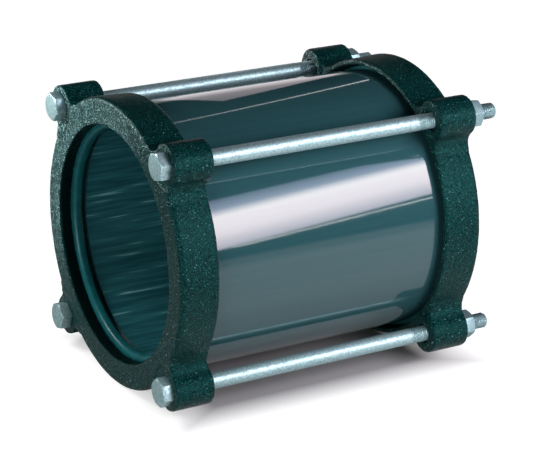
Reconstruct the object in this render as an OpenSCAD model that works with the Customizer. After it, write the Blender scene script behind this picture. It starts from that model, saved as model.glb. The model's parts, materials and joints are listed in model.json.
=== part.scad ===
// Bolted pipe expansion joint: a plain sleeve, two cast clamp rings, two
// rubber gaskets and four long tie bolts with nuts.
// Millimetres. +X runs along the pipe axis from the bolt heads to the nuts,
// +Z is up. The origin is on the pipe axis, halfway along the overall length.

/* [Pipe] */
// Outside diameter of the pipe that the joint takes
pipe_od = 168.3; // [165:0.1:171]
// Radial room between the pipe and the relaxed gasket lip
pipe_clearance = 0.15; // [0.1:0.05:0.5]

/* [Sleeve] */
// Radial room for the pipe to slant in the sleeve
sleeve_room = 3.95; // [3:0.05:8]
// Wall of the sleeve
sleeve_wall = 11.9; // [8:0.1:12.5]
// Length of the sleeve
sleeve_len = 208; // [120:1:400]
// Chamfer on the inner and outer edges of both sleeve ends
sleeve_chamfer = 1; // [0.3:0.1:2]

/* [Clamp rings] */
// Radial room for the pipe to slant in the bore of a clamp ring
ring_room = 4.35; // [3:0.05:5]
// Wall of the skirt at its end
skirt_wall = 3.8; // [3.2:0.1:8]
// Thickness of the plate that bears on the gasket
ring_plate = 9; // [7:0.5:12]
// Depth of a clamp ring, from its face to the end of its skirt
ring_depth = 31; // [27:0.5:36]
// How much the outside narrows, in radius, towards the end of the skirt
rim_draft = 1.2; // [0:0.1:2]
// How much the inside of the skirt opens, in radius, towards its end
skirt_flare = 1.4; // [0.5:0.1:2]
// Rounding of the outer edge of the face
face_round = 3; // [1:0.1:4]
// Rounding of the edges of the bore and of the skirt's end
small_round = 1.2; // [0.5:0.1:1.5]

/* [Lugs] */
// Distance from the outside of a ring to the middle of its bolts
bolt_offset = 10; // [9.5:0.1:14]
// Angle of each bolt from the vertical, about the pipe axis
lug_angle = 45; // [30:1:60]
// Radius of the boss round each bolt
lug_r = 15.3; // [13:0.1:16.5]
// Length of a lug along the bolt
lug_len = 32; // [20:0.5:34]
// Radius of the fillets between a boss and the rim
lug_fillet = 10; // [5:0.5:12]
// Rounding of the inner end of a boss
lug_round = 2; // [0.5:0.1:2.5]
// Radius of the round seat that is sunk into the face at each bolt
seat_r = 18.5; // [17.5:0.5:20]
// Depth of that seat below the face
seat_depth = 0.8; // [0.5:0.1:3]
// Diameter of the bolt hole in a lug
bolt_hole = 14; // [13.5:0.1:15]

/* [Gaskets] */
// Length of a gasket between the ring's plate and the sleeve's end
gasket_len = 13; // [12:0.5:18]
// Radial room between a gasket and the ring round it
gasket_clearance = 0.3; // [0.3:0.1:1]
// How far a gasket stands out past the outside of the sleeve
gasket_proud = 2.3; // [1:0.1:3]
// Length of the flat land of the lip, which seals on the pipe
lip_land = 2; // [1:0.5:5]
// Rounding of the two edges of the lip
lip_round = 3; // [1:0.1:3]
// Distance from the ring's plate to the lip
lip_start = 0.8; // [0.3:0.1:1.5]
// How far the body of the gasket stands back from the sleeve's bore, in radius
body_setback = 2; // [1:0.1:4]

/* [Bolts and nuts] */
// Diameter of a bolt
bolt_d = 12; // [11:0.5:12.5]
// Distance across the flats of heads and nuts
hex_af = 19; // [18:0.5:21]
// Height of a bolt head
head_h = 8; // [6:0.5:10]
// Height of a nut
nut_h = 10.8; // [9:0.1:13]
// Length of bolt that stands out past a nut
bolt_tail = 14; // [9:0.5:25]
// Chamfer on the end of a bolt
bolt_chamfer = 1; // [0.5:0.1:1.5]
// Radial room between a bolt's thread and its nut
thread_clearance = 0.05; // [0.02:0.01:0.1]
// Height of the chamfer on the corners of heads and nuts
hex_chamfer = 1; // [0.5:0.1:1.5]

/* [Hidden] */
$fn = 96;

// A cut runs past the solid that it opens by this much
over = 1;

// Lengths along the pipe axis, counted from the front ring's face
sleeve_x = ring_plate + gasket_len;
face_to_face = sleeve_len + 2 * sleeve_x;
bolt_len = face_to_face - 2 * seat_depth + nut_h + bolt_tail;
overall_len = head_h + bolt_len;
face_x = head_h - seat_depth - overall_len / 2;
// A cut through a whole ring ends here, past both its skirt and its lugs
cut_end = max(ring_depth, lug_len) + over;

// Radii, from the pipe outwards
pipe_r = pipe_od / 2;
lip_r = pipe_r + pipe_clearance;
ring_bore_r = pipe_r + ring_room;
sleeve_bore_r = pipe_r + sleeve_room;
sleeve_r = sleeve_bore_r + sleeve_wall;
gasket_r = sleeve_r + gasket_proud;
gasket_body_r = sleeve_bore_r + body_setback;
cavity_r = gasket_r + gasket_clearance;
mouth_r = cavity_r + skirt_flare;
skirt_r = mouth_r + skirt_wall;
rim_r = skirt_r + rim_draft;
bolt_r = rim_r + bolt_offset;
nut_bore_r = bolt_d / 2 + thread_clearance;

// Centre of the fillet circle, which touches the rim and a boss from outside.
// The boss stands at [bolt_r, 0] in the plane of the lug's outline.
fillet_x = (pow(bolt_r, 2) + pow(rim_r + lug_fillet, 2) - pow(lug_r + lug_fillet, 2)) / (2 * bolt_r);
fillet_y = sqrt(pow(rim_r + lug_fillet, 2) - pow(fillet_x, 2));

// Angle of each bolt about the pipe axis, seen from the bolt heads.
// Left is +Y and right is -Y.
upper_left = lug_angle;
upper_right = -lug_angle;
lower_right = lug_angle - 180;
lower_left = 180 - lug_angle;
LUG_ANGLES = [upper_left, upper_right, lower_right, lower_left];

// Turns an outline, whose first coordinate is the radius and whose second is
// the distance along the axis, about the pipe axis
module turned() {
    rotate([0, 90, 0])
        rotate_extrude()
            children();
}

// Stands an upright piece up along the pipe axis at a bolt's place
module at_bolt(angle) {
    rotate([-angle, 0, 0])
        translate([0, 0, bolt_r])
            rotate([0, 90, 0])
                children();
}

// The waste at a square corner at the origin, which leaves a round of radius r
module corner_waste(r) {
    difference() {
        translate([-over, -over])
            square(r + over);
        translate([r, r])
            circle(r);
    }
}

// Outline of a ring's solid rim, from the axis outwards
module rim_outline() {
    difference() {
        polygon([
            [0, 0],
            [rim_r, 0],
            [rim_r, face_round],
            [skirt_r, ring_depth],
            [0, ring_depth]
        ]);
        translate([rim_r, 0])
            mirror([1, 0])
                corner_waste(face_round);
        translate([skirt_r, ring_depth])
            mirror([1, 0])
                mirror([0, 1])
                    corner_waste(small_round);
    }
}

// Outline of a ring's inside: the bore, then the seat of the gasket, which
// opens into the skirt
module inside_outline() {
    translate([0, -over])
        square([ring_bore_r, cut_end + over]);
    polygon([
        [0, ring_plate],
        [cavity_r, ring_plate],
        [cavity_r, sleeve_x],
        [mouth_r, ring_depth],
        [mouth_r, cut_end],
        [0, cut_end]
    ]);
    translate([ring_bore_r, 0])
        corner_waste(small_round);
}

// Outline of a lug: a boss that runs into the rim through two fillets
module lug_outline() {
    translate([bolt_r, 0])
        circle(lug_r);
    difference() {
        polygon([
            [fillet_x - lug_fillet - over, 0],
            [fillet_x * (1 - lug_fillet / rim_r), fillet_y * (1 - lug_fillet / rim_r)],
            [fillet_x, fillet_y],
            [bolt_r, 0],
            [fillet_x, -fillet_y],
            [fillet_x * (1 - lug_fillet / rim_r), -fillet_y * (1 - lug_fillet / rim_r)]
        ]);
        for (side = [-1, 1])
            translate([fillet_x, side * fillet_y])
                circle(lug_fillet);
    }
}

// The boss of a lug, turned about its bolt, with a rounded inner end
module boss() {
    rotate_extrude()
        difference() {
            square([lug_r, lug_len]);
            translate([lug_r, lug_len])
                mirror([1, 0])
                    mirror([0, 1])
                        corner_waste(lug_round);
        }
}

// A whole lug before it is bored, standing at a bolt's place
module lug(angle) {
    rotate([-angle, 0, 0])
        rotate([0, -90, 0])
            mirror([0, 0, 1])
                linear_extrude(lug_len - lug_round)
                    lug_outline();
    at_bolt(angle)
        boss();
}

// A clamp ring with its face at X = 0 and its skirt towards +X
module clamp_ring() {
    difference() {
        union() {
            turned()
                rim_outline();
            for (angle = LUG_ANGLES)
                lug(angle);
        }
        turned()
            inside_outline();
        for (angle = LUG_ANGLES)
            at_bolt(angle) {
                translate([0, 0, -over])
                    cylinder(r = seat_r, h = seat_depth + over);
                translate([0, 0, -over])
                    cylinder(d = bolt_hole, h = cut_end + over);
            }
    }
}

// A gasket: a square-backed ring whose rounded lip reaches in to the pipe.
// It stands between the ring's plate, at 0, and the sleeve's end.
module gasket_outline() {
    lip_end = lip_start + lip_land + 2 * lip_round;
    translate([gasket_body_r, 0])
        square([gasket_r - gasket_body_r, gasket_len]);
    difference() {
        translate([lip_r, lip_start])
            square([gasket_body_r - lip_r + over, lip_end - lip_start]);
        translate([lip_r, lip_start])
            corner_waste(lip_round);
        translate([lip_r, lip_end])
            mirror([0, 1])
                corner_waste(lip_round);
    }
    polygon([
        [lip_r + lip_round, lip_end],
        [gasket_body_r, lip_end],
        [gasket_body_r, lip_end + (gasket_len - lip_end) / 2]
    ]);
}

// A hexagonal prism along +Z with its corners chamfered at one or both ends
module hex_prism(height, both_ends) {
    corner_r = hex_af / (2 * cos(30));
    flat_r = hex_af / 2;
    bottom_r = both_ends ? flat_r : corner_r + over;
    bottom_h = both_ends ? hex_chamfer : 0;
    intersection() {
        cylinder(r = corner_r, h = height, $fn = 6);
        rotate_extrude()
            polygon([
                [0, 0],
                [bottom_r, 0],
                [corner_r + over, bottom_h + (both_ends ? hex_chamfer : 0)],
                [corner_r + over, height - 2 * hex_chamfer],
                [flat_r, height],
                [0, height]
            ]);
    }
}

// A tie bolt at the origin, its shank along +Z from the underside of its head
module tie_bolt() {
    mirror([0, 0, 1])
        hex_prism(head_h, false);
    rotate_extrude()
        polygon([
            [0, 0],
            [bolt_d / 2, 0],
            [bolt_d / 2, bolt_len - bolt_chamfer],
            [bolt_d / 2 - bolt_chamfer, bolt_len],
            [0, bolt_len]
        ]);
}

// A nut at the origin, its seat at Z = 0
module hex_nut() {
    difference() {
        hex_prism(nut_h, true);
        translate([0, 0, -over])
            cylinder(r = nut_bore_r, h = nut_h + 2 * over);
    }
}

module front_ring() {
    color("#1c4744")
        translate([face_x, 0, 0])
            clamp_ring();
}

module rear_ring() {
    color("#1c4744")
        translate([face_x + face_to_face, 0, 0])
            mirror([1, 0, 0])
                clamp_ring();
}

module sleeve() {
    color("#566b70")
        translate([face_x + sleeve_x, 0, 0])
            turned()
                polygon([
                    [sleeve_bore_r + sleeve_chamfer, 0],
                    [sleeve_r - sleeve_chamfer, 0],
                    [sleeve_r, sleeve_chamfer],
                    [sleeve_r, sleeve_len - sleeve_chamfer],
                    [sleeve_r - sleeve_chamfer, sleeve_len],
                    [sleeve_bore_r + sleeve_chamfer, sleeve_len],
                    [sleeve_bore_r, sleeve_len - sleeve_chamfer],
                    [sleeve_bore_r, sleeve_chamfer]
                ]);
}

module front_gasket() {
    color("#0f3a3a")
        translate([face_x + ring_plate, 0, 0])
            turned()
                gasket_outline();
}

module rear_gasket() {
    color("#0f3a3a")
        translate([face_x + face_to_face - ring_plate, 0, 0])
            mirror([1, 0, 0])
                turned()
                    gasket_outline();
}

module placed_bolt(angle) {
    color("#b9cccb")
        translate([face_x + seat_depth, 0, 0])
            at_bolt(angle)
                tie_bolt();
}

module placed_nut(angle) {
    color("#a9bfbe")
        translate([face_x + face_to_face - seat_depth, 0, 0])
            at_bolt(angle)
                hex_nut();
}

front_ring();
rear_ring();
sleeve();
front_gasket();
rear_gasket();
placed_bolt(upper_left);  // bolt_upper_left
placed_bolt(upper_right);  // bolt_upper_right
placed_bolt(lower_right);  // bolt_lower_right
placed_bolt(lower_left);  // bolt_lower_left
placed_nut(upper_left);  // nut_upper_left
placed_nut(upper_right);  // nut_upper_right
placed_nut(lower_right);  // nut_lower_right
placed_nut(lower_left);  // nut_lower_left
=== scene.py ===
"""Looks for a bolted pipe expansion joint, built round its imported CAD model.

A thick plastic sleeve stands between two lugged clamp rings of sand-cast iron, each with a rubber
gasket behind it. Four zinc-plated bolts and nuts draw the rings together. Lengths are in metres,
in the CAD frame: +X runs along the pipe axis from the bolt heads to the nuts, and +Z is up.
"""
import json
import logging
import math
from collections.abc import Sequence
from dataclasses import dataclass, field
from enum import Enum
from typing import ClassVar

import bmesh
import bpy
from mathutils import Matrix, Vector


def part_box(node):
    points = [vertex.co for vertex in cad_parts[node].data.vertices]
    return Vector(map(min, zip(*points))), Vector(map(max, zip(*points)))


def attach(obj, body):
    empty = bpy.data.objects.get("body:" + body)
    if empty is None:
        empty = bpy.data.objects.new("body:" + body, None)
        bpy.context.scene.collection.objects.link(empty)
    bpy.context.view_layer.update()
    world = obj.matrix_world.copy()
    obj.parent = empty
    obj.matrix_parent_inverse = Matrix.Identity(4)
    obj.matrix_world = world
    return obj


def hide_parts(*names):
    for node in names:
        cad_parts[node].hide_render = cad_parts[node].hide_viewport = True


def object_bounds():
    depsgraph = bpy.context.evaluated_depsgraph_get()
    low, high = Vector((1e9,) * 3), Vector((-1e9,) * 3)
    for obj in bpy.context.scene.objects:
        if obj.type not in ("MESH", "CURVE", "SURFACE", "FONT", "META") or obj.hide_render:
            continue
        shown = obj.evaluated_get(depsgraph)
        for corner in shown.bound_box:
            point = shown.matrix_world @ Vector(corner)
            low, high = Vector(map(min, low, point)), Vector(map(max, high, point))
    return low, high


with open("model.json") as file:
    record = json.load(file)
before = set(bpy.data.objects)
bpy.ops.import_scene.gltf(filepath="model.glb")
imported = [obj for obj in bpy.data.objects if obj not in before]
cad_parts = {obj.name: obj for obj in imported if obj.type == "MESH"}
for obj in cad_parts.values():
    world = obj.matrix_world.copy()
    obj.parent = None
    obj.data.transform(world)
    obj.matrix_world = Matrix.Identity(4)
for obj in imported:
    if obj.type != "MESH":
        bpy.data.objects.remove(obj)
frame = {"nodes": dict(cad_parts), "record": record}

CAD_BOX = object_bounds()
MM = 0.001
LOG = logging.getLogger("expansion_joint")

# A point in metres, the points of an outline in millimetres, and a ramp's places and colours
Point = tuple[float, float, float]
Outline = Sequence[tuple[float, float]]
Stops = Sequence[tuple[float, str]]


class Corner(Enum):
    """The four bolt places, by the angle in degrees from the vertical, seen from the bolt heads."""

    UPPER_LEFT = 45.0
    UPPER_RIGHT = -45.0
    LOWER_RIGHT = -135.0
    LOWER_LEFT = 135.0

    @property
    def label(self) -> str:
        """The corner's name as the CAD nodes write it."""
        return self.name.lower()


class End(Enum):
    """The two ends of the joint, by the sign that turns a piece of the front end into its own."""

    FRONT = 1
    REAR = -1

    @property
    def label(self) -> str:
        """The end's name as the CAD nodes write it."""
        return self.name.lower()


def linear(colour: str) -> tuple[float, float, float, float]:
    """Turns an sRGB hex colour to linear light.

    Args:
        colour: The colour as #rrggbb.

    Returns:
        Red, green, blue and an alpha of 1.
    """
    parts = [int(colour[i : i + 2], 16) / 255 for i in (1, 3, 5)]
    red, green, blue = (p / 12.92 if p <= 0.04045 else ((p + 0.055) / 1.055) ** 2.4 for p in parts)
    return red, green, blue, 1.0


def per_mm(size: float) -> float:
    """The noise scale, per metre, at which one grain of the pattern is size millimetres wide."""
    return 1 / (size * MM)


def feed(node: bpy.types.Node, **links: object) -> bpy.types.Node:
    """Feeds a shader node's inputs.

    Args:
        node: The node to feed.
        links: Nodes, output sockets or values by input name, with _ for a space, or iN for input N.
            A node gives its first output that is in use.

    Returns:
        The same node.
    """
    for name, source in links.items():
        is_index = name[0] == "i" and name[1:].isdigit()
        socket = node.inputs[int(name[1:])] if is_index else node.inputs[name.replace("_", " ")]
        if isinstance(source, bpy.types.Node):
            source = next(output for output in source.outputs if output.enabled)
        if isinstance(source, bpy.types.NodeSocket):
            node.id_data.links.new(source, socket)
        else:
            socket.default_value = source
    return node


def add_node(
    tree: bpy.types.NodeTree,
    kind: str,
    settings: dict[str, object] | None = None,
    stops: Stops = (),
    **links: object,
) -> bpy.types.Node:
    """Adds one shader node with its settings and links.

    Args:
        tree: The node tree that gets the node.
        kind: The node's type, such as ShaderNodeBump.
        settings: Attributes of the node, and values of its inputs, by name.
        stops: Places from 0 to 1 on a colour ramp, with their sRGB colours.
        links: What feeds its inputs, as feed takes it.

    Returns:
        The new node.
    """
    node = tree.nodes.new(kind)
    for name, value in (settings or {}).items():
        if hasattr(node, name):
            setattr(node, name, value)
        else:
            node.inputs[name].default_value = value
    if stops:
        elements = node.color_ramp.elements
        while len(elements) < len(stops):
            elements.new(1.0)
        for element, (place, colour) in zip(elements, stops):
            element.position = place
            element.color = linear(colour)
    return feed(node, **links)


@dataclass(frozen=True)
class Finish:
    """A finish that starts from a Principled shader on Object coordinates."""

    name: str

    def start(
        self,
    ) -> tuple[bpy.types.Material, bpy.types.NodeTree, bpy.types.Node, bpy.types.NodeSocket]:
        """Makes the empty material.

        Returns:
            The material, its tree, its Principled shader and the Object coordinates.
        """
        material = bpy.data.materials.new(self.name)
        material.use_nodes = True
        tree = material.node_tree
        shader = tree.nodes["Principled BSDF"]
        place = add_node(tree, "ShaderNodeTexCoord").outputs["Object"]
        return material, tree, shader, place

    def within(
        self, tree: bpy.types.NodeTree, place: bpy.types.NodeSocket, radius_mm: float
    ) -> bpy.types.NodeSocket:
        """Tells the bore from the outside.

        Args:
            tree: The material's tree.
            place: The Object coordinates.
            radius_mm: Distance from the pipe axis that counts as the bore.

        Returns:
            A socket with 1 in the bore and 0 outside it.
        """
        parts = add_node(tree, "ShaderNodeSeparateXYZ", Vector=place)
        across = add_node(
            tree, "ShaderNodeCombineXYZ", Y=parts.outputs["Y"], Z=parts.outputs["Z"]
        )
        radius = add_node(tree, "ShaderNodeVectorMath", {"operation": "LENGTH"}, Vector=across)
        inside = add_node(
            tree, "ShaderNodeMath", {"operation": "LESS_THAN"}, i0=radius, i1=radius_mm * MM
        )
        return inside.outputs["Value"]

    def build(self) -> bpy.types.Material:
        """Makes the material; each finish has its own."""
        raise NotImplementedError


@dataclass(frozen=True)
class PaintedCastIron(Finish):
    """Sand-cast grey iron under a dark green enamel.

    The thin paint follows every grain of the mould's sand. Single crowns are painted pale as glints,
    mostly high on the flat faces, where a light falls on them, and the edges are painted pale as wear
    and highlight together. The rest is near black, and the bore is painted blacker still, as shade.
    """

    name: str = "sand_cast_iron_green_enamel"
    # Paint from the hollows between the grains up to the pale crowns, which are painted glints
    hollow: str = "#020f10"
    paint: str = "#072a29"
    ridge: str = "#124745"
    crown: str = "#a6d0d1"
    # Colour of the enamel's reflection
    tint: str = "#58bdb9"
    # Grains of sand, and the slower waves where the sand was rammed
    grain_mm: float = 1.15
    sand_mm: float = 5.0
    relief_mm: float = 0.5
    grain_depth: float = 1.0
    sand_depth: float = 0.6
    # How far the painted glints reach on the flat faces, and the pale edges, both worn and painted
    # highlight
    face_rub: float = 0.145
    edge_rub: float = 0.4
    # Y plus Z below which the faces have fewest painted glints, and above which they have most
    low_mm: float = -20.0
    high_mm: float = 85.0
    low_rub: float = 0.25
    # Radius of the bore, which is painted near black as shade
    bore_mm: float = 89.2
    # Strength of the reflection, and what is left of it where the skin faces up, to keep the tops dark
    # as painted shade
    shine: float = 0.2
    top_shine: float = 0.03

    def build(self) -> bpy.types.Material:
        """Makes the material: sharp grains over slower waves, and pale painted glints on the crowns.

        Returns:
            The finished material.
        """
        material, tree, shader, place = self.start()
        sand = add_node(
            tree,
            "ShaderNodeTexNoise",
            {"Scale": per_mm(self.sand_mm), "Detail": 2.0, "Roughness": 0.5},
            Vector=place,
        ).outputs["Fac"]
        grain = add_node(
            tree,
            "ShaderNodeTexNoise",
            {"Scale": per_mm(self.grain_mm), "Detail": 2.0, "Roughness": 0.6},
            Vector=place,
        ).outputs["Fac"]
        coat = add_node(
            tree,
            "ShaderNodeValToRGB",
            stops=[(0.36, self.hollow), (0.52, self.paint), (0.68, self.ridge)],
            Fac=grain,
        )
        # Pale crowns and edges mixed into the paint: painted glints and highlight, with wear on the
        # edges
        glinted = add_node(
            tree,
            "ShaderNodeMix",
            {"data_type": "RGBA"},
            i0=self.rubbed(tree, place, sand, grain),
            i6=coat,
            i7=linear(self.crown),
        )
        # The bore takes the hollows' near black: painted shade
        bore_shaded = add_node(
            tree,
            "ShaderNodeMix",
            {"data_type": "RGBA"},
            i0=self.within(tree, place, self.bore_mm),
            i6=glinted,
            i7=linear(self.hollow),
        )
        waves = add_node(
            tree,
            "ShaderNodeBump",
            {"Strength": self.sand_depth, "Distance": self.relief_mm * MM},
            Height=sand,
        )
        skin = add_node(
            tree,
            "ShaderNodeBump",
            {"Strength": self.grain_depth, "Distance": self.relief_mm * MM},
            Height=grain,
            Normal=waves,
        )
        gloss = add_node(
            tree,
            "ShaderNodeMapRange",
            {"From Min": 0.35, "From Max": 0.65, "To Min": 0.4, "To Max": 0.22},
            Value=grain,
        )
        normal = add_node(tree, "ShaderNodeNewGeometry").outputs["Normal"]
        facing = add_node(tree, "ShaderNodeSeparateXYZ", Vector=normal)
        sheen = add_node(
            tree,
            "ShaderNodeMapRange",
            {"From Min": 0.35, "From Max": 0.8, "To Min": self.shine, "To Max": self.top_shine},
            Value=facing.outputs["Z"],
        )
        feed(shader, Base_Color=bore_shaded, Roughness=gloss, Normal=skin)
        feed(shader, Specular_IOR_Level=sheen, Specular_Tint=linear(self.tint))
        return material

    def rubbed(
        self,
        tree: bpy.types.NodeTree,
        place: bpy.types.NodeSocket,
        sand: bpy.types.NodeSocket,
        grain: bpy.types.NodeSocket,
    ) -> bpy.types.NodeSocket:
        """Finds where the paint is made pale: painted glints on crowns, and edges worn and painted as
        highlight.

        Args:
            tree: The material's tree.
            place: The Object coordinates.
            sand: The slow waves' height.
            grain: The grains' height.

        Returns:
            A socket with 1 on a glinting crown or a pale edge, and 0 on plain paint.
        """
        # The glints gather on the flat faces and high up, where the lamps fall: painted highlight
        shape = add_node(tree, "ShaderNodeNewGeometry")
        facing = add_node(tree, "ShaderNodeSeparateXYZ", Vector=shape.outputs["Normal"])
        flat = add_node(tree, "ShaderNodeMath", {"operation": "ABSOLUTE"}, i0=facing.outputs["X"])
        face = add_node(
            tree,
            "ShaderNodeMapRange",
            {"From Min": 0.7, "From Max": 0.95, "To Max": self.face_rub},
            Value=flat,
        )
        parts = add_node(tree, "ShaderNodeSeparateXYZ", Vector=place)
        rise = add_node(tree, "ShaderNodeMath", i0=parts.outputs["Y"], i1=parts.outputs["Z"])
        upper = add_node(
            tree,
            "ShaderNodeMapRange",
            {"From Min": self.low_mm * MM, "From Max": self.high_mm * MM, "To Min": self.low_rub},
            Value=rise,
        )
        glint_reach = add_node(tree, "ShaderNodeMath", {"operation": "MULTIPLY"}, i0=face, i1=upper)
        raised = add_node(tree, "ShaderNodeMath", i0=grain, i1=glint_reach)
        high = add_node(
            tree, "ShaderNodeMapRange", {"From Min": 0.675, "From Max": 0.785}, Value=raised
        )
        open_sand = add_node(
            tree,
            "ShaderNodeMapRange",
            {"From Min": 0.35, "From Max": 0.6, "To Min": 0.25},
            Value=sand,
        )
        crowns = add_node(tree, "ShaderNodeMath", {"operation": "MULTIPLY"}, i0=high, i1=open_sand)
        # Pale edges where the skin is sharp: worn paint and a painted edge highlight together
        edges = add_node(
            tree,
            "ShaderNodeMapRange",
            {"From Min": 0.55, "From Max": 0.62, "To Max": self.edge_rub},
            Value=shape.outputs["Pointiness"],
        )
        pale = add_node(tree, "ShaderNodeMath", {"operation": "MAXIMUM"}, i0=crowns, i1=edges)
        return pale.outputs["Value"]


@dataclass(frozen=True)
class ExtrudedPvc(Finish):
    """Rigid PVC pipe, extruded through a polished die.

    It mirrors the studio softly, and faint draw lines run along it, stronger on the inside, where the
    mandrel scored it; the pale streaks along those scores are painted reflections.
    """

    name: str = "extruded_pvc_grey"
    # Draw lines outside
    body: str = "#264b4f"
    pale: str = "#294f53"
    line_mm: float = 3.0
    line_length_mm: float = 160.0
    line_depth_mm: float = 0.05
    # Scores inside, slightly askew to the axis, with pale streaks that are painted reflections
    scored: str = "#1c4c53"
    worn: str = "#2b656b"
    streak: str = "#7cacae"
    score_mm: float = 3.2
    score_length_mm: float = 70.0
    score_turn_deg: float = 3.0
    # Radius up to which the wall counts as inside
    inside_mm: float = 88.6
    roughness: float = 0.07
    ior: float = 1.53

    def build(self) -> bpy.types.Material:
        """Makes the material: noise drawn out along X, with the scores and painted streaks kept to the
        bore.

        Returns:
            The finished material.
        """
        material, tree, shader, place = self.start()
        drawn = add_node(
            tree,
            "ShaderNodeMapping",
            {"Scale": (per_mm(self.line_length_mm), per_mm(self.line_mm), per_mm(self.line_mm))},
            Vector=place,
        )
        lines = add_node(
            tree,
            "ShaderNodeTexNoise",
            {"Scale": 1.0, "Detail": 3.0, "Roughness": 0.6},
            Vector=drawn,
        ).outputs["Fac"]
        outside = add_node(
            tree, "ShaderNodeValToRGB", stops=[(0.3, self.body), (0.7, self.pale)], Fac=lines
        )
        askew = add_node(
            tree,
            "ShaderNodeMapping",
            {
                "Scale": (per_mm(self.score_length_mm), per_mm(self.score_mm), per_mm(self.score_mm)),
                "Rotation": (0.0, 0.0, math.radians(self.score_turn_deg)),
            },
            Vector=place,
        )
        scores = add_node(
            tree,
            "ShaderNodeTexNoise",
            {"Scale": 1.0, "Detail": 2.0, "Roughness": 0.6},
            Vector=askew,
        )
        inside = add_node(
            tree,
            "ShaderNodeValToRGB",
            stops=[(0.4, self.scored), (0.66, self.worn), (0.77, self.streak)],
            Fac=scores,
        )
        colour = add_node(
            tree,
            "ShaderNodeMix",
            {"data_type": "RGBA"},
            i0=self.within(tree, place, self.inside_mm),
            i6=outside,
            i7=inside,
        )
        bump = add_node(
            tree,
            "ShaderNodeBump",
            {"Strength": 0.1, "Distance": self.line_depth_mm * MM},
            Height=lines,
        )
        feed(shader, Base_Color=colour, Normal=bump, Roughness=self.roughness, IOR=self.ior)
        return material


@dataclass(frozen=True)
class MouldedRubber(Finish):
    """EPDM rubber from a polished mould: dark, with a soft broad sheen and a slow cloud of bloom."""

    name: str = "moulded_epdm_rubber"
    body: str = "#0e4649"
    bloom: str = "#13575b"
    cloud_mm: float = 9.0
    skin_mm: float = 0.8
    skin_depth_mm: float = 0.1
    roughness: float = 0.32
    shine: float = 0.2

    def build(self) -> bpy.types.Material:
        """Makes the material: the cloud in the colour, and a fine bump that breaks the sheen.

        Returns:
            The finished material.
        """
        material, tree, shader, place = self.start()
        cloud = add_node(
            tree, "ShaderNodeTexNoise", {"Scale": per_mm(self.cloud_mm), "Detail": 3.0}, Vector=place
        )
        colour = add_node(
            tree, "ShaderNodeValToRGB", stops=[(0.35, self.body), (0.7, self.bloom)], Fac=cloud
        )
        skin = add_node(
            tree, "ShaderNodeTexNoise", {"Scale": per_mm(self.skin_mm), "Detail": 2.0}, Vector=place
        )
        bump = add_node(
            tree,
            "ShaderNodeBump",
            {"Strength": 0.15, "Distance": self.skin_depth_mm * MM},
            Height=skin,
        )
        feed(shader, Base_Color=colour, Normal=bump, Roughness=self.roughness)
        feed(shader, Specular_IOR_Level=self.shine)
        return material


@dataclass(frozen=True)
class ZincPlate(Finish):
    """Zinc plate over steel. Its crystals scatter the shine, and its passivation leaves a cool tint."""

    name: str = "bright_zinc_plate"
    bright: str = "#a8c5c8"
    dull: str = "#7c9ca0"
    crystal_mm: float = 1.6
    crystal_depth_mm: float = 0.12
    roughness: float = 0.5
    roughness_spread: float = 0.08
    # Less than a bare metal's 1, because the passivation scatters some of the light
    metallic: float = 0.7

    def build(self) -> bpy.types.Material:
        """Makes the material: clouds of bright and dull crystals with a fine bump.

        Returns:
            The finished material.
        """
        material, tree, shader, place = self.start()
        cloud = add_node(
            tree,
            "ShaderNodeTexNoise",
            {"Scale": per_mm(self.crystal_mm), "Detail": 4.0, "Roughness": 0.65},
            Vector=place,
        ).outputs["Fac"]
        colour = add_node(
            tree, "ShaderNodeValToRGB", stops=[(0.35, self.dull), (0.62, self.bright)], Fac=cloud
        )
        gloss = add_node(
            tree,
            "ShaderNodeMapRange",
            {
                "From Min": 0.3,
                "From Max": 0.7,
                "To Min": self.roughness + self.roughness_spread,
                "To Max": self.roughness - self.roughness_spread,
            },
            Value=cloud,
        )
        bump = add_node(
            tree,
            "ShaderNodeBump",
            {"Strength": 0.25, "Distance": self.crystal_depth_mm * MM},
            Height=cloud,
        )
        feed(shader, Base_Color=colour, Roughness=gloss, Normal=bump, Metallic=self.metallic)
        return material


def pick(piece: bpy.types.Object) -> bpy.types.Object:
    """Leaves this piece alone selected and active.

    Args:
        piece: The object to pick.

    Returns:
        The same object.
    """
    if bpy.context.object is not None and bpy.context.object.mode != "OBJECT":
        bpy.ops.object.mode_set(mode="OBJECT")
    bpy.ops.object.select_all(action="DESELECT")
    piece.select_set(True)
    bpy.context.view_layer.objects.active = piece
    return piece


def finish_modifier(piece: bpy.types.Object, kind: str, **settings: object) -> None:
    """Adds a modifier to a piece and applies it.

    Args:
        piece: The piece to change.
        kind: The modifier's type, such as BEVEL.
        settings: The modifier's own settings.
    """
    pick(piece)
    bpy.ops.object.modifier_add(type=kind)
    modifier = piece.modifiers[-1]
    for name, value in settings.items():
        setattr(modifier, name, value)
    bpy.ops.object.modifier_apply(modifier=modifier.name)


def shade_rounds(piece: bpy.types.Object, sharp_deg: float) -> None:
    """Shades a piece smooth, and keeps its sharp edges.

    Args:
        piece: The piece to shade.
        sharp_deg: Edges that turn by more than this many degrees stay sharp.
    """
    pick(piece)
    bpy.ops.object.shade_smooth_by_angle(angle=math.radians(sharp_deg))


def close_and_turn_out(piece: bpy.types.Object, gap: float = 0.01 * MM) -> None:
    """Merges doubled points and turns all faces outwards.

    Args:
        piece: The piece to mend.
        gap: Points closer than this become one.
    """
    pick(piece)
    bpy.ops.object.mode_set(mode="EDIT")
    bpy.ops.mesh.select_all(action="SELECT")
    bpy.ops.mesh.remove_doubles(threshold=gap)
    bpy.ops.mesh.normals_make_consistent(inside=False)
    bpy.ops.object.mode_set(mode="OBJECT")


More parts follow.
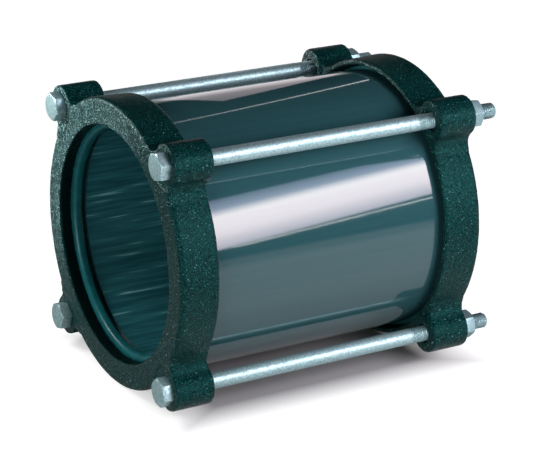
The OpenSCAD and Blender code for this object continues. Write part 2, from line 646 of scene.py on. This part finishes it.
def lathe(name: str, outline: Outline, steps: int, closed: bool) -> bpy.types.Object:
    """Spins an outline about the X axis.

    Args:
        name: The new object's name.
        outline: Points as distance along X and radius, in millimetres.
        steps: Number of steps round the axis.
        closed: Whether the outline's last point joins its first.

    Returns:
        The new object, with a closed mesh if the outline is closed or starts and ends on the axis.
    """
    bpy.ops.object.select_all(action="DESELECT")
    bpy.ops.mesh.primitive_plane_add(size=1 * MM)
    piece = bpy.context.object
    piece.name = name
    bpy.ops.object.mode_set(mode="EDIT")
    bpy.ops.mesh.select_mode(type="VERT")
    bpy.ops.mesh.select_all(action="SELECT")
    bpy.ops.mesh.merge(type="CENTER")
    first = Vector((outline[0][0] * MM, 0.0, outline[0][1] * MM))
    bpy.ops.transform.translate(value=first)
    at = first
    for along, radius in [*outline[1:], *outline[: 1 if closed else 0]]:
        to = Vector((along * MM, 0.0, radius * MM))
        bpy.ops.mesh.extrude_region_move(TRANSFORM_OT_translate={"value": to - at})
        at = to
    bpy.ops.mesh.select_all(action="SELECT")
    bpy.ops.mesh.remove_doubles(threshold=0.001 * MM)
    bpy.ops.mesh.select_all(action="SELECT")
    bpy.ops.mesh.spin(
        steps=steps,
        angle=2 * math.pi,
        center=(0.0, 0.0, 0.0),
        axis=(1.0, 0.0, 0.0),
        use_auto_merge=True,
    )
    bpy.ops.object.mode_set(mode="OBJECT")
    close_and_turn_out(piece)
    return piece


def arc(
    centre: tuple[float, float], radius: float, start: float, end: float, count: int
) -> list[tuple[float, float]]:
    """Points along an arc of an outline.

    Args:
        centre: Centre as distance along X and radius from the axis, in millimetres.
        radius: The arc's radius in millimetres.
        start: First angle in degrees, from the X axis towards larger radius.
        end: Last angle in degrees.
        count: Number of points.

    Returns:
        The points, from start to end.
    """
    angles = [math.radians(start + (end - start) * i / (count - 1)) for i in range(count)]
    return [(centre[0] + radius * math.cos(a), centre[1] + radius * math.sin(a)) for a in angles]


def body_of_node(node: str) -> str:
    """The CAD body that a node belongs to."""
    bodies = frame["record"]["behaviour"]["bodies"]
    return next(body for body, nodes in bodies.items() if node in nodes)


def stand_in_for(
    piece: bpy.types.Object, node: str, material: bpy.types.Material
) -> bpy.types.Object:
    """Dresses a finished piece and puts it in a CAD node's place.

    Args:
        piece: The finished piece, with its place in its mesh.
        node: The CAD node that it stands for.
        material: Its finish.

    Returns:
        The same piece.
    """
    piece.data.materials.clear()
    piece.data.materials.append(material)
    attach(piece, body_of_node(node))
    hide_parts(node)
    LOG.info("%s stands for %s: %d faces", piece.name, node, len(piece.data.polygons))
    return piece


@dataclass
class CastRing:
    """A clamp ring as it comes from the sand mould: the CAD casting with every edge worn round and a
    lumpy skin under its paint."""

    finish: PaintedCastIron = field(default_factory=PaintedCastIron)
    voxel_mm: float = 1.1
    smooth_passes: int = 2
    lump_mm: float = 3.0
    lump_height_mm: float = 0.25

    def cast(self, end: End) -> bpy.types.Object:
        """Copies one CAD ring and gives it the surface of a casting.

        Args:
            end: Which of the two rings.

        Returns:
            The finished mesh.
        """
        node = f"{end.label}_ring"
        piece = frame["nodes"][node].copy()
        piece.data = piece.data.copy()
        piece.name = f"cast_{node}"
        for key in list(piece.keys()):
            del piece[key]
        piece.parent = None
        bpy.context.scene.collection.objects.link(piece)
        close_and_turn_out(piece)
        finish_modifier(piece, "REMESH", mode="VOXEL", voxel_size=self.voxel_mm * MM)
        finish_modifier(piece, "SMOOTH", factor=0.5, iterations=self.smooth_passes)
        lumps = bpy.data.textures.new("sand_mould_lumps", "CLOUDS")
        lumps.noise_scale = self.lump_mm * MM
        lumps.noise_depth = 1
        finish_modifier(
            piece,
            "DISPLACE",
            texture=lumps,
            texture_coords="LOCAL",
            strength=self.lump_height_mm * MM,
            mid_level=0.5,
        )
        pick(piece)
        bpy.ops.object.shade_smooth()
        return piece

    def build(self) -> None:
        """Makes both rings."""
        material = self.finish.build()
        for end in End:
            stand_in_for(self.cast(end), f"{end.label}_ring", material)


@dataclass
class Sleeve:
    """The plain sleeve: a length of thick plastic pipe, sawn square and chamfered outside."""

    finish: ExtrudedPvc = field(default_factory=ExtrudedPvc)
    radius_mm: float = 100.0
    bore_mm: float = 88.1
    chamfer_mm: float = 1.0
    steps: int = 288

    def build(self) -> None:
        """Spins the wall's outline between the ends that the CAD node gives."""
        low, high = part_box("sleeve")
        start, end, cut = low.x / MM, high.x / MM, self.chamfer_mm
        outline = [
            (start, self.bore_mm),
            (start, self.radius_mm - cut),
            (start + cut, self.radius_mm),
            (end - cut, self.radius_mm),
            (end, self.radius_mm - cut),
            (end, self.bore_mm),
        ]
        piece = lathe("pvc_sleeve", outline, self.steps, closed=True)
        shade_rounds(piece, sharp_deg=30)
        stand_in_for(piece, "sleeve", self.finish.build())


@dataclass
class Gasket:
    """A rubber gasket: a square back behind the ring's plate and a round lip towards the pipe."""

    finish: MouldedRubber = field(default_factory=MouldedRubber)
    outer_mm: float = 102.3
    body_mm: float = 90.1
    lip_mm: float = 84.3
    lip_start_mm: float = 0.8
    lip_land_mm: float = 2.0
    lip_round_mm: float = 3.0
    edge_mm: float = 0.8
    steps: int = 240

    def build(self) -> None:
        """Makes both gaskets, each from its plate towards the sleeve."""
        material = self.finish.build()
        for end in End:
            node = f"{end.label}_gasket"
            low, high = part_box(node)
            back = (low.x if end is End.FRONT else high.x) / MM
            length = (high.x - low.x) / MM
            outline = [(back + end.value * x, r) for x, r in self.outline(length)]
            piece = lathe(f"rubber_{node}", outline, self.steps, closed=True)
            shade_rounds(piece, sharp_deg=35)
            stand_in_for(piece, node, material)

    def outline(self, length: float) -> list[tuple[float, float]]:
        """The section of a gasket.

        Args:
            length: Its length along the axis in millimetres.

        Returns:
            Points as distance from its back and radius.
        """
        e, r = self.edge_mm, self.lip_round_mm
        lip_end = self.lip_start_mm + self.lip_land_mm + 2 * r
        back_edge = arc((e, self.outer_mm - e), e, 180, 90, 4)
        front_edge = arc((length - e, self.outer_mm - e), e, 90, 0, 4)
        lip_far = arc((lip_end - r, self.lip_mm + r), r, 0, -90, 9)
        lip_near = arc((self.lip_start_mm + r, self.lip_mm + r), r, -90, -180, 9)
        return [
            (0.0, self.body_mm),
            *back_edge,
            *front_edge,
            (length, self.body_mm),
            ((length + lip_end) / 2, self.body_mm),
            *lip_far,
            *lip_near,
            (self.lip_start_mm, self.body_mm),
        ]


@dataclass
class Hexagon:
    """What a bolt's head and a nut share: a bar of hexagon steel with its corners turned off."""

    start_mm: float
    end_mm: float
    flats_mm: float = 19.0
    # Share of the width across flats that the turning leaves flat on an end, and its slope
    crown_share: float = 0.97
    slope_deg: float = 30.0
    edge_mm: float = 0.25
    # How far a cutting tool runs past the bar, and how wide a bore is countersunk
    clear_mm: float = 2.0
    sink_mm: float = 1.0

    def build(self, name: str, both_ends: bool, bore_mm: float = 0.0) -> bpy.types.Object:
        """Cuts a prism along X to length, turns its corners off and bores it.

        Args:
            name: The new object's name.
            both_ends: Whether the corners are turned off at both ends, or only at the start.
            bore_mm: Radius of a bore right through, or 0 for none.

        Returns:
            The finished prism, on the X axis.
        """
        start, end = self.start_mm, self.end_mm
        corner = self.flats_mm / 2 / math.cos(math.radians(30))
        middle = ((start + end) / 2 * MM, 0.0, 0.0)
        bpy.ops.object.select_all(action="DESELECT")
        bpy.ops.mesh.primitive_cylinder_add(
            vertices=6, radius=corner * MM, depth=(end - start) * MM, location=middle
        )
        prism = bpy.context.object
        prism.name = name
        bpy.ops.object.mode_set(mode="EDIT")
        bpy.ops.mesh.select_all(action="SELECT")
        bpy.ops.transform.rotate(
            value=math.radians(90), orient_axis="Y", center_override=middle
        )
        bpy.ops.object.mode_set(mode="OBJECT")
        bpy.ops.object.transform_apply(location=True, rotation=True, scale=True)
        turning = lathe("turning", self.turning(corner, both_ends), 48, closed=False)
        finish_modifier(prism, "BOOLEAN", operation="INTERSECT", object=turning, solver="EXACT")
        bpy.data.objects.remove(turning)
        if bore_mm:
            drill = lathe("drill", self.drill(bore_mm), 30, closed=False)
            finish_modifier(prism, "BOOLEAN", operation="DIFFERENCE", object=drill, solver="EXACT")
            bpy.data.objects.remove(drill)
        close_and_turn_out(prism)
        finish_modifier(
            prism,
            "BEVEL",
            width=self.edge_mm * MM,
            segments=2,
            limit_method="ANGLE",
            angle_limit=math.radians(25),
        )
        return prism

    def turning(self, corner: float, both_ends: bool) -> list[tuple[float, float]]:
        """The outline that the corners are turned down to.

        Args:
            corner: Radius of the corners in millimetres.
            both_ends: Whether both ends are turned, or only the start.

        Returns:
            Points as distance along X and radius.
        """
        start, end = self.start_mm, self.end_mm
        past = corner + self.clear_mm
        crown = self.flats_mm / 2 * self.crown_share
        drop = (past - crown) * math.tan(math.radians(self.slope_deg))
        first = [(start, 0.0), (start, crown), (start + drop, past)]
        if both_ends:
            return [*first, (end - drop, past), (end, crown), (end, 0.0)]
        return [*first, (end + self.clear_mm, past), (end + self.clear_mm, 0.0)]

    def drill(self, bore: float) -> list[tuple[float, float]]:
        """The outline of a countersunk bore.

        Args:
            bore: Its radius in millimetres.

        Returns:
            Points as distance along X and radius.
        """
        sink, wide = self.sink_mm, bore + 2 * self.sink_mm
        return [
            (self.start_mm - sink, 0.0),
            (self.start_mm - sink, wide),
            (self.start_mm + sink, bore),
            (self.end_mm - sink, bore),
            (self.end_mm + sink, wide),
            (self.end_mm + sink, 0.0),
        ]


def copy_to_corner(pattern: bpy.types.Object, name: str, corner: Corner) -> bpy.types.Object:
    """Copies a piece from the X axis to a bolt's place.

    Args:
        pattern: The piece on the X axis.
        name: The copy's name.
        corner: Where it goes.

    Returns:
        The copy, with its place in its own mesh.
    """
    low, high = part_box(f"bolt_{corner.label}")
    centre = (low + high) / 2
    piece = pattern.copy()
    piece.data = pattern.data.copy()
    piece.name = name
    bpy.context.scene.collection.objects.link(piece)
    turn = Matrix.Rotation(math.radians(-corner.value), 4, "X")
    piece.matrix_world = Matrix.Translation((0.0, centre.y, centre.z)) @ turn
    pick(piece)
    bpy.ops.object.transform_apply(location=True, rotation=True, scale=True)
    return piece


def set_of_four(pattern: bpy.types.Object, kind: str, material: bpy.types.Material) -> None:
    """Copies a finished bolt or nut to the four corners, and removes the pattern.

    Args:
        pattern: The piece on the X axis.
        kind: What it is, as the CAD nodes write it.
        material: Its finish.
    """
    for corner in Corner:
        piece = copy_to_corner(pattern, f"zinc_{kind}_{corner.label}", corner)
        shade_rounds(piece, sharp_deg=28)
        stand_in_for(piece, f"{kind}_{corner.label}", material)
    bpy.data.objects.remove(pattern)


@dataclass
class TieBolt:
    """A long hexagon bolt: forged head, plain shank and a rolled thread at the nut end."""

    finish: ZincPlate = field(default_factory=ZincPlate)
    diameter_mm: float = 12.0
    head_mm: float = 8.0
    # How far the shank starts inside the head, and the plain stretch just before the thread
    tuck_mm: float = 1.0
    lead_mm: float = 1.0
    tip_chamfer_mm: float = 1.0
    pitch_mm: float = 1.75
    thread_mm: float = 70.0
    thread_depth_mm: float = 0.95
    # Rings of points along each turn of the thread, and points in each ring
    samples: int = 6
    steps: int = 30

    def shank(self, start: float, end: float) -> bpy.types.Object:
        """Spins the shank and rolls its thread.

        Args:
            start: Where the head's underside lies, in millimetres along X.
            end: Where the tip lies.

        Returns:
            The shank, on the X axis.
        """
        radius = self.diameter_mm / 2
        thread_start = end - self.thread_mm
        rings = int(self.thread_mm / self.pitch_mm * self.samples)
        span = self.thread_mm - self.tip_chamfer_mm
        outline = [
            (start - self.tuck_mm, 0.0),
            (start - self.tuck_mm, radius),
            (thread_start - self.lead_mm, radius),
            *((thread_start + span * i / rings, radius) for i in range(rings + 1)),
            (end, radius - self.tip_chamfer_mm),
            (end, 0.0),
        ]
        piece = lathe("zinc_shank", outline, self.steps, closed=False)
        mesh = bmesh.new()
        mesh.from_mesh(piece.data)
        for point in mesh.verts:
            self.roll(point.co, thread_start * MM, (end - self.tip_chamfer_mm) * MM)
        mesh.to_mesh(piece.data)
        mesh.free()
        return piece

    def roll(self, place: Vector, start: float, end: float) -> None:
        """Sinks a point of the shank into the thread's groove.

        Args:
            place: The point, which is moved.
            start: Where the thread runs out, in metres along X.
            end: Where the tip's chamfer starts.
        """
        if not start <= place.x <= end + 0.01 * MM:
            return
        turn = math.atan2(place.z, place.y) / (2 * math.pi)
        phase = (place.x / (self.pitch_mm * MM) - turn) % 1.0
        groove = 1 - abs(2 * phase - 1)
        run_out = min(1.0, (place.x - start) / (2 * self.pitch_mm * MM))
        radius = math.hypot(place.y, place.z)
        share = 1 - self.thread_depth_mm * MM * groove * run_out / radius
        place.y *= share
        place.z *= share

    def build(self) -> None:
        """Makes one bolt and copies it to the four corners."""
        low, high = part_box("bolt_upper_left")
        seat = low.x / MM + self.head_mm
        shank = self.shank(seat, high.x / MM)
        bolt = Hexagon(seat - self.head_mm, seat).build("zinc_head", both_ends=False)
        pick(bolt)
        shank.select_set(True)
        bpy.ops.object.join()
        set_of_four(bolt, "bolt", self.finish.build())


@dataclass
class HexNut:
    """A plain hexagon nut, chamfered on both sides, its plate duller than the bolts'."""

    finish: ZincPlate = field(
        default_factory=lambda: ZincPlate(name="dull_zinc_plate", bright="#8fafb3")
    )
    bore_mm: float = 6.05

    def build(self) -> None:
        """Makes one nut and copies it to the four corners."""
        low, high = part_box("nut_upper_left")
        bar = Hexagon(low.x / MM, high.x / MM)
        nut = bar.build("zinc_nut", both_ends=True, bore_mm=self.bore_mm)
        set_of_four(nut, "nut", self.finish.build())


@dataclass(frozen=True)
class Softbox:
    """A rectangular light with a cloth front.

    Its long edge lies along one direction and its width across the other, and it shines away from the
    side on which the two directions turn anticlockwise.
    """

    name: str
    centre: Point
    along: Point
    across: Point
    size: tuple[float, float]
    # Brightness of its front, where 1 is white
    radiance: float
    colour: str = "#ffffff"
    cloth: Stops = ()

    def hang(self) -> None:
        """Puts the light in its place, with the cloth's shades across its width where it has any."""
        data = bpy.data.lights.new(self.name, "AREA")
        data.shape = "RECTANGLE"
        data.size, data.size_y = self.size
        data.color = linear(self.colour)[:3]
        data.energy = self.radiance * self.size[0] * self.size[1] * math.pi
        if self.cloth:
            data.use_nodes = True
            tree = data.node_tree
            place = add_node(tree, "ShaderNodeNewGeometry").outputs["Parametric"]
            parts = add_node(tree, "ShaderNodeSeparateXYZ", Vector=place)
            shade = add_node(tree, "ShaderNodeValToRGB", stops=self.cloth, Fac=parts.outputs["Y"])
            feed(tree.nodes["Emission"], Color=shade)
        light = bpy.data.objects.new(self.name, data)
        along = Vector(self.along).normalized()
        across = Vector(self.across).normalized()
        turn = Matrix((along, across, along.cross(across))).transposed().to_4x4()
        light.matrix_world = Matrix.Translation(self.centre) @ turn
        light.visible_camera = False
        bpy.context.scene.collection.objects.link(light)

    @classmethod
    def aimed(
        cls, name: str, toward: Point, distance: float, size: tuple[float, float], radiance: float
    ) -> "Softbox":
        """A plain softbox that faces the object from a direction.

        Args:
            name: The light's name.
            toward: Direction from the object to the light.
            distance: Distance in metres.
            size: Length and width in metres.
            radiance: Brightness of its front, where 1 is white.

        Returns:
            The softbox.
        """
        way = Vector(toward).normalized()
        along = Vector((0, 0, 1)).cross(way).normalized()
        return cls(
            name, tuple(way * distance), tuple(along), tuple(way.cross(along)), size, radiance
        )


@dataclass
class Studio:
    """The camera at the photograph's viewing angle, a white table in a dark room, and soft lights."""

    azimuth: float = -30.431
    elevation: float = 19.444
    roll: float = 0.329
    target_mm: float = 1.5
    side_shift: float = 0.114335
    lift: float = 0.014203
    distance: float = 1.57077
    lens_mm: float = 143.43
    floor_gap_mm: float = 0.2
    floor_size: float = 24.0
    table: str = "#a6a6a6"
    room: str = "#141b1b"
    # The table's glow beside the object, where the lamps light it too, and its distances in metres
    # from the object where the glow starts to rise and where it is full
    near_glow: float = 0.88
    near_end: float = 0.4
    far_start: float = 1.4
    # Glow of the backdrop for mirrored rays
    backdrop_glow: float = 0.4

    # Y in metres at the start and at the end of the table's rows, and the rows as mirrors see them, by
    # their share of that span: dark at the front edge, white before the object, and dim behind it
    ROW_SPAN: ClassVar[tuple[float, float]] = (-0.8, 2.4)
    ROWS: ClassVar[Stops] = (
        (0.047, "#000000"),
        (0.11, "#ffffff"),
        (0.2, "#ffffff"),
        (0.222, "#989898"),
        (0.245, "#303030"),
        (0.55, "#303030"),
        (0.9, "#c0c0c0"),
    )
    # Distances in metres from the middle where the painted shadow under the joint starts to end and
    #     # where it has ended, along the pipe axis and across it
    SHADE_ALONG: ClassVar[tuple[float, float]] = (0.09, 0.14)
    SHADE_ACROSS: ClassVar[tuple[float, float]] = (0.075, 0.11)

    LIGHTS: ClassVar[tuple[Softbox, ...]] = (
        # The broad band on the upper side of the sleeve
        Softbox(
            "key_softbox",
            centre=(0.606, -1.0, 0.575),
            along=(0.819, 0.0, 0.574),
            across=(-0.574, 0.0, 0.819),
            size=(1.1, 0.6),
            radiance=18.0,
            colour="#fff6f8",
            cloth=(
                (0.0, "#b0afbb"),
                (0.3, "#f6f0f4"),
                (0.6, "#ffffff"),
                (0.76, "#8c97ad"),
                (1.0, "#5a6174"),
            ),
        ),
        # The front faces and the heads
        Softbox.aimed("left_fill", (-1.0, -0.5, 0.1), 1.3, (0.8, 0.3), 12.0),
        # The sparkle on the upper part of the front face
        Softbox.aimed("face_lamp", (-0.31, 0.19, 0.17), 0.4, (0.12, 0.12), 22.0),
        # The thin pale line under the broad band
        Softbox(
            "key_hem",
            centre=(0.54, -1.0, 0.127),
            along=(0.862, 0.0, 0.507),
            across=(-0.507, 0.0, 0.862),
            size=(0.36, 0.01),
            radiance=14.0,
        ),
        # The pinkish strip on the far side of the sleeve's top
        Softbox(
            "far_card",
            centre=(0.066, 0.15, 0.108),
            along=(0.788, 0.0, -0.616),
            across=(-0.616, 0.0, -0.788),
            size=(0.13, 0.12),
            radiance=0.9,
            colour="#f4e4ea",
        ),
        # The bright line beside that strip
        Softbox(
            "far_edge",
            centre=(0.25, 0.3, 0.425),
            along=(0.456, 0.0, -0.89),
            across=(-0.89, 0.0, -0.456),
            size=(0.3, 0.009),
            radiance=4.0,
        ),
    )

    def axes(self) -> tuple[Vector, Vector, Vector]:
        """Works out how the camera is turned.

        Returns:
            The camera's right, up and backward directions in the CAD frame.
        """
        a, e, r = (math.radians(v) for v in (self.azimuth, self.elevation, self.roll))
        back = Vector((math.sin(a) * math.cos(e), -math.cos(a) * math.cos(e), math.sin(e)))
        right = Vector((0, 0, 1)).cross(back).normalized()
        up = back.cross(right)
        return right * math.cos(r) + up * math.sin(r), up * math.cos(r) - right * math.sin(r), back

    def camera(self) -> None:
        """Puts the camera where the photograph was taken from."""
        right, up, back = self.axes()
        data = bpy.data.cameras.new("camera")
        data.sensor_fit = "HORIZONTAL"
        data.sensor_width = 36.0
        data.lens = self.lens_mm
        data.clip_start, data.clip_end = 0.05, 100.0
        camera = bpy.data.objects.new("camera", data)
        face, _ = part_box("front_ring")
        target = Vector((face.x + self.target_mm * MM, 0.0, 0.0))
        place = target + right * self.side_shift + up * self.lift + back * self.distance
        turn = Matrix((right, up, back)).transposed().to_4x4()
        camera.matrix_world = Matrix.Translation(place) @ turn
        bpy.context.scene.collection.objects.link(camera)
        bpy.context.scene.camera = camera

    def rays(
        self, tree: bpy.types.NodeTree
    ) -> tuple[bpy.types.NodeSocket, bpy.types.NodeSocket]:
        """Tells rays apart: those from the camera, and those that a gloss or a glass sends on.

        Args:
            tree: The node tree that asks.

        Returns:
            Sockets with 1 for a camera ray, and for a glossy or transmitted one.
        """
        path = add_node(tree, "ShaderNodeLightPath")
        mirrored = add_node(
            tree,
            "ShaderNodeMath",
            {"operation": "MAXIMUM"},
            i0=path.outputs["Is Glossy Ray"],
            i1=path.outputs["Is Transmission Ray"],
        )
        return path.outputs["Is Camera Ray"], mirrored.outputs["Value"]

    def floor(self) -> None:
        """Lays the white table under the rings, with a glow over its matt top."""
        low, _ = CAD_BOX
        bpy.ops.object.select_all(action="DESELECT")
        bpy.ops.mesh.primitive_plane_add(
            size=self.floor_size, location=(0, 0, low.z - self.floor_gap_mm * MM)
        )
        floor = bpy.context.object
        floor.name = "studio_floor"
        material = bpy.data.materials.new("matt_white_table")
        material.use_nodes = True
        tree = material.node_tree
        shader = tree.nodes["Principled BSDF"]
        feed(shader, Base_Color=linear(self.table), Roughness=0.9, Specular_IOR_Level=0.0)
        glow = add_node(
            tree, "ShaderNodeEmission", {"Color": linear("#ffffff")}, Strength=self.table_glow(tree)
        )
        both = add_node(tree, "ShaderNodeAddShader", i0=shader, i1=glow)
        feed(tree.nodes["Material Output"], Surface=both)
        floor.data.materials.append(material)

    def table_glow(self, tree: bpy.types.NodeTree) -> bpy.types.NodeSocket:
        """Keeps the table white for the camera, and gives mirrored rays its rows.

        Args:
            tree: The table's node tree.

        Returns:
            The glow's strength.
        """
        seen, mirrored = self.rays(tree)
        place = add_node(tree, "ShaderNodeTexCoord").outputs["Object"]
        parts = add_node(tree, "ShaderNodeSeparateXYZ", Vector=place)
        near, far = self.ROW_SPAN
        row = add_node(
            tree, "ShaderNodeMapRange", {"From Min": near, "From Max": far}, Value=parts.outputs["Y"]
        )
        rows = add_node(tree, "ShaderNodeValToRGB", stops=self.ROWS, Fac=row)
        dimmed = add_node(
            tree, "ShaderNodeMath", {"operation": "MULTIPLY"}, i0=mirrored, i1=self.near_glow
        )
        to_mirrors = add_node(tree, "ShaderNodeMath", {"operation": "MULTIPLY"}, i0=dimmed, i1=rows)
        span = add_node(tree, "ShaderNodeVectorMath", {"operation": "LENGTH"}, Vector=place)
        level = add_node(
            tree,
            "ShaderNodeMapRange",
            {"From Min": self.near_end, "From Max": self.far_start, "To Min": self.near_glow},
            Value=span,
        )
        # No glow on the ground under the joint, which stays dark there as painted shadow
        even = add_node(
            tree,
            "ShaderNodeMath",
            {"operation": "MULTIPLY"},
            i0=self.open_ground(tree, parts),
            i1=level,
        )
        to_camera = add_node(tree, "ShaderNodeMath", {"operation": "MULTIPLY"}, i0=seen, i1=even)
        strength = add_node(
            tree, "ShaderNodeMath", {"operation": "MAXIMUM"}, i0=to_camera, i1=to_mirrors
        )
        return strength.outputs["Value"]

    def open_ground(
        self, tree: bpy.types.NodeTree, parts: bpy.types.Node
    ) -> bpy.types.NodeSocket:
        """Leaves the glow out on the ground between the rings: a painted shadow over the joint's real
        one.

        Args:
            tree: The table's node tree.
            parts: The split Object coordinates.

        Returns:
            A socket with 0 on that ground and 1 away from it.
        """
        past = []
        for axis, (start, end) in (("X", self.SHADE_ALONG), ("Y", self.SHADE_ACROSS)):
            reach = add_node(
                tree, "ShaderNodeMath", {"operation": "ABSOLUTE"}, i0=parts.outputs[axis]
            )
            past.append(
                add_node(tree, "ShaderNodeMapRange", {"From Min": start, "From Max": end}, Value=reach)
            )
        away = add_node(tree, "ShaderNodeMath", {"operation": "MAXIMUM"}, i0=past[0], i1=past[1])
        return away.outputs["Value"]

    def world(self) -> None:
        """Gives the room: white to the camera and low behind the table, and dark above and in front."""
        world = bpy.data.worlds.new("studio")
        bpy.context.scene.world = world
        world.use_nodes = True
        tree = world.node_tree
        tree.nodes.clear()
        way = add_node(tree, "ShaderNodeTexCoord").outputs["Generated"]
        parts = add_node(tree, "ShaderNodeSeparateXYZ", Vector=way)
        low = add_node(
            tree,
            "ShaderNodeMapRange",
            {"From Min": 0.1, "From Max": 0.2, "To Min": 1.0, "To Max": 0.0},
            Value=parts.outputs["Z"],
        )
        behind = add_node(
            tree, "ShaderNodeMapRange", {"From Min": 0.1, "From Max": 0.4}, Value=parts.outputs["Y"]
        )
        backdrop = add_node(tree, "ShaderNodeMath", {"operation": "MULTIPLY"}, i0=low, i1=behind)
        seen, mirrored = self.rays(tree)
        dimmed = add_node(
            tree, "ShaderNodeMath", {"operation": "MULTIPLY"}, i0=mirrored, i1=self.backdrop_glow
        )
        to_mirrors = add_node(
            tree, "ShaderNodeMath", {"operation": "MULTIPLY"}, i0=backdrop, i1=dimmed
        )
        white = add_node(tree, "ShaderNodeMath", {"operation": "MAXIMUM"}, i0=seen, i1=to_mirrors)
        colour = add_node(
            tree,
            "ShaderNodeMix",
            {"data_type": "RGBA"},
            i0=white,
            i6=linear(self.room),
            i7=linear("#ffffff"),
        )
        sky = add_node(tree, "ShaderNodeBackground", {"Strength": 1.0}, Color=colour)
        add_node(tree, "ShaderNodeOutputWorld", Surface=sky)

    def build(self) -> None:
        """Sets up the whole studio."""
        self.camera()
        self.floor()
        self.world()
        for light in self.LIGHTS:
            light.hang()
        bpy.context.scene.view_settings.view_transform = "Standard"


def main() -> None:
    """Builds every piece in order, and the studio."""
    logging.basicConfig(level=logging.INFO, format="%(name)s: %(message)s")
    for part in (CastRing(), Sleeve(), Gasket(), TieBolt(), HexNut(), Studio()):
        LOG.info("building %s", type(part).__name__)
        part.build()


if __name__ == "__main__":
    main()
